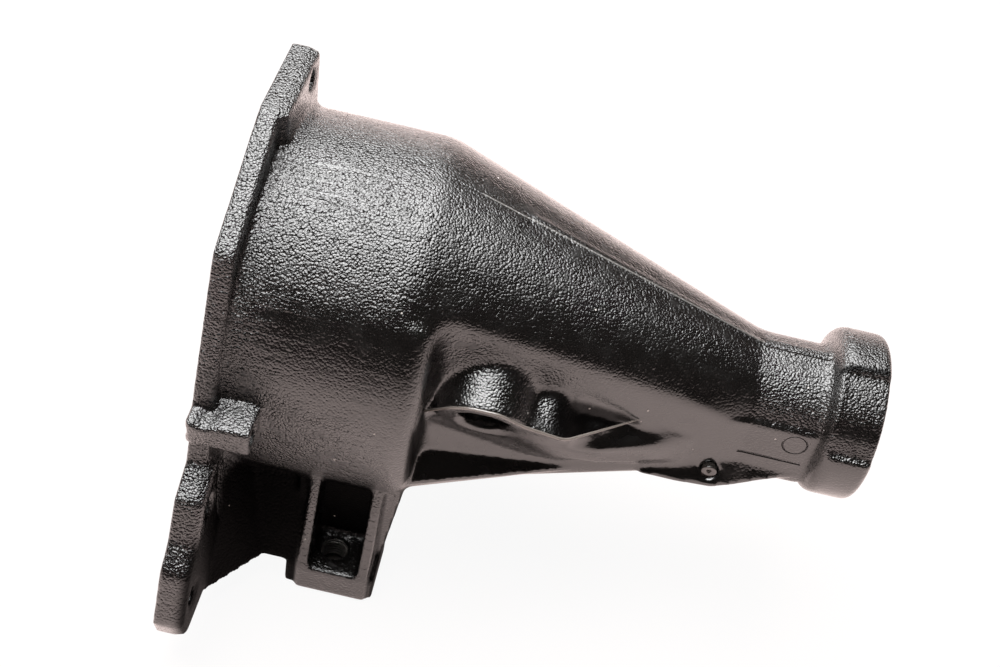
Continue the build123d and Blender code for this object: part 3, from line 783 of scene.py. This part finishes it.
class HOUSING_OT_rim_bead(bpy.types.Operator):
    """Lays the thin rounded rim along the ridge of the speedometer web"""

    bl_idname = "housing.rim_bead"
    bl_label = "Web rim"

    def execute(self, context):
        points, faces = bead_along(RIDGE, RIM_RADIUS)
        # The rim's paint is a light grey: painted highlight along the web's ridge.
        finish = gloss_black_paint("rim_paint_painted_highlight", "#7d756f", grain_share=0.6)
        rim = mesh_object("web_rim", points, faces, finish)
        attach(rim, BODY)
        return {"FINISHED"}


def turned_button(x, face, z, profile):
    """Points and faces of a body turned about an axis along y: one ring for each pair of radius and depth
    behind the face, and a pole at both ends.
    """
    ring_points = 32
    around = np.linspace(0, 2 * math.pi, ring_points, endpoint=False)
    radius, depth = profile[:, 0], profile[:, 1]
    rings = np.stack(
        [
            x + radius[:, None] * np.cos(around),
            face + depth[:, None] + 0 * around,
            z + radius[:, None] * np.sin(around),
        ],
        axis=2,
    )
    poles = [[x, face + depth[0], z], [x, face + depth[-1], z]]
    points = np.concatenate([rings.reshape(-1, 3), poles])
    return points, ring_faces(len(profile), ring_points).tolist() + pole_faces(len(profile), ring_points)


class HOUSING_OT_inner_pieces(bpy.types.Operator):
    """Finishes the bush, the seal, its spring and the plug"""

    bl_idname = "housing.inner_pieces"
    bl_label = "Bush, seal and plug"

    def execute(self, context):
        steel = turned_metal("pressed_steel", "#9a9a9c", roughness=0.35)
        finishes = {
            "output_bushing": turned_metal("bearing_bronze", "#b08d57", roughness=0.3),
            "oil_seal_case": steel,
            "seal_garter_spring": steel,
            "oil_seal_lip": moulded_rubber("nitrile_rubber"),
            # The plug's paint is a lighter grey: painted reflection of the floor on its face.
            "neck_plug": gloss_black_paint("plug_paint_painted_reflection", "#3a3633", grain_share=0.4),
        }
        for name, finish in finishes.items():
            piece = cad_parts[name]
            piece.data.materials.clear()
            piece.data.materials.append(finish)
        points, faces = turned_button(PLUG_X, PLUG_FACE, PLUG_Z, PLUG_PROFILE)
        plug = mesh_object("plug_button", points, faces, finishes["neck_plug"])
        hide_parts("neck_plug")
        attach(plug, BODY)
        return {"FINISHED"}


def add_lamp(name, place, size, power, target):
    """A soft box of that size and power, turned to the target."""
    lamp = bpy.data.lights.new(name, "AREA")
    lamp.shape = "RECTANGLE"
    lamp.size, lamp.size_y = size
    lamp.energy = power
    held = bpy.data.objects.new(name, lamp)
    bpy.context.scene.collection.objects.link(held)
    held.location = place
    held.rotation_mode = "QUATERNION"
    held.rotation_quaternion = (target - held.location).normalized().to_track_quat("-Z", "Y")


def add_camera():
    """The photograph's camera. It stands back from its aim by the distance, raised by the tilt from level,
    and is turned about its own axis by the roll.
    """
    camera = bpy.data.cameras.new("camera")
    camera.sensor_width = CAMERA_SENSOR
    camera.sensor_fit = "HORIZONTAL"
    camera.lens = CAMERA_LENS
    held = bpy.data.objects.new("camera", camera)
    bpy.context.scene.collection.objects.link(held)
    bpy.context.scene.camera = held
    aside = np.array([1.0, 0.0, 0.0])
    level = np.array([0.0, math.sin(CAMERA_TILT), math.cos(CAMERA_TILT)])
    back = np.array([0.0, -math.cos(CAMERA_TILT), math.sin(CAMERA_TILT)])
    pose = np.eye(4)
    pose[:3, 0] = math.cos(CAMERA_ROLL) * aside + math.sin(CAMERA_ROLL) * level
    pose[:3, 1] = -math.sin(CAMERA_ROLL) * aside + math.cos(CAMERA_ROLL) * level
    pose[:3, 2] = back
    pose[:3, 3] = CAMERA_AIM + CAMERA_DISTANCE * back
    held.matrix_world = Matrix(pose.tolist())


class HOUSING_OT_stage(bpy.types.Operator):
    """Builds the floor, the backdrop, the lamps and the camera"""

    bl_idname = "housing.stage"
    bl_label = "Studio"

    def execute(self, context):
        studio = context.scene.housing_studio
        flat = FLOOR_REACH * np.array([[-1, -1, 0], [1, -1, 0], [1, 1, 0], [-1, 1, 0]], float)
        white = studio_paper(
            "white_paper", studio.floor_colour, studio.bounce_colour, FLOOR_SEEN_WHITE, FLOOR_MIRRORED
        )
        floor = mesh_object("studio_floor", flat + [0, 0, FLOOR_HEIGHT], [[0, 1, 2, 3]], white)
        upright = [[-WALL_REACH, WALL_DISTANCE, 0], [WALL_REACH, WALL_DISTANCE, 0]]
        upright += [[WALL_REACH, WALL_DISTANCE, WALL_HEIGHT], [-WALL_REACH, WALL_DISTANCE, WALL_HEIGHT]]
        grey = studio_paper("warm_grey_wall", studio.backdrop_colour, studio.backdrop_colour)
        wall = np.array(upright, float) + [0, 0, FLOOR_HEIGHT]
        backdrop = mesh_object("studio_backdrop", wall, [[0, 3, 2, 1]], grey)
        around = np.linspace(0, 2 * math.pi, 24, endpoint=False)
        disc = SHADOW_RADIUS * np.stack([np.cos(around), np.sin(around), 0 * around], axis=1)
        # Dark paper discs under the feet's holes: painted shadow seen through the holes.
        painted_shadow = studio_paper("painted_shadow_paper", "#4a4643", "#4a4643")
        for side, y in FOOT_HOLES:
            under = disc + [FOOT_HOLE_X, y, FLOOR_HEIGHT + SHADOW_LIFT]
            mesh_object("painted_shadow_under_" + side + "_hole", under, [range(len(disc))], painted_shadow)
        middle = (CAD_BOX[0] + CAD_BOX[1]) / 2
        add_lamp("overhead", OVERHEAD_PLACE, OVERHEAD_SIZE, studio.overhead_power, middle)
        add_lamp("behind", BEHIND_PLACE, BEHIND_SIZE, studio.fill_power, middle)
        world = bpy.data.worlds.new("dim_room")
        context.scene.world = world
        world.use_nodes = True
        background = world.node_tree.nodes["Background"]
        background.inputs["Color"].default_value = linear(studio.room_colour)
        background.inputs["Strength"].default_value = 1.0
        add_camera()
        return {"FINISHED"}


class HOUSING_PT_panel(bpy.types.Panel):
    """Lists the housing's pieces and its studio"""

    bl_idname = "HOUSING_PT_panel"
    bl_label = "Extension housing"
    bl_space_type = "VIEW_3D"
    bl_region_type = "UI"
    bl_category = "Housing"

    def draw(self, context):
        scene = context.scene
        for operator in OPERATORS:
            self.layout.operator(operator.bl_idname)
        for group in (scene.housing_casting, scene.housing_paint, scene.housing_studio):
            box = self.layout.box()
            for name in group.bl_rna.properties.keys():
                if name not in ("rna_type", "name"):
                    box.prop(group, name)


OPERATORS = (
    HOUSING_OT_casting,
    HOUSING_OT_threads,
    HOUSING_OT_rim_bead,
    HOUSING_OT_inner_pieces,
    HOUSING_OT_stage,
)
CLASSES = (CastingSettings, PaintSettings, StudioSettings) + OPERATORS + (HOUSING_PT_panel,)


def register():
    """Registers the classes and hangs the settings on the scene."""
    for item in CLASSES:
        bpy.utils.register_class(item)
    bpy.types.Scene.housing_casting = bpy.props.PointerProperty(type=CastingSettings)
    bpy.types.Scene.housing_paint = bpy.props.PointerProperty(type=PaintSettings)
    bpy.types.Scene.housing_studio = bpy.props.PointerProperty(type=StudioSettings)


def unregister():
    """Takes the settings off the scene and the classes out again."""
    del bpy.types.Scene.housing_studio
    del bpy.types.Scene.housing_paint
    del bpy.types.Scene.housing_casting
    for item in reversed(CLASSES):
        bpy.utils.unregister_class(item)


def main():
    """Builds everything in order."""
    register()
    bpy.context.scene.view_settings.view_transform = "Standard"
    for operator in OPERATORS:
        group, name = operator.bl_idname.split(".")
        getattr(getattr(bpy.ops, group), name)()


if __name__ == "__main__":
    main()
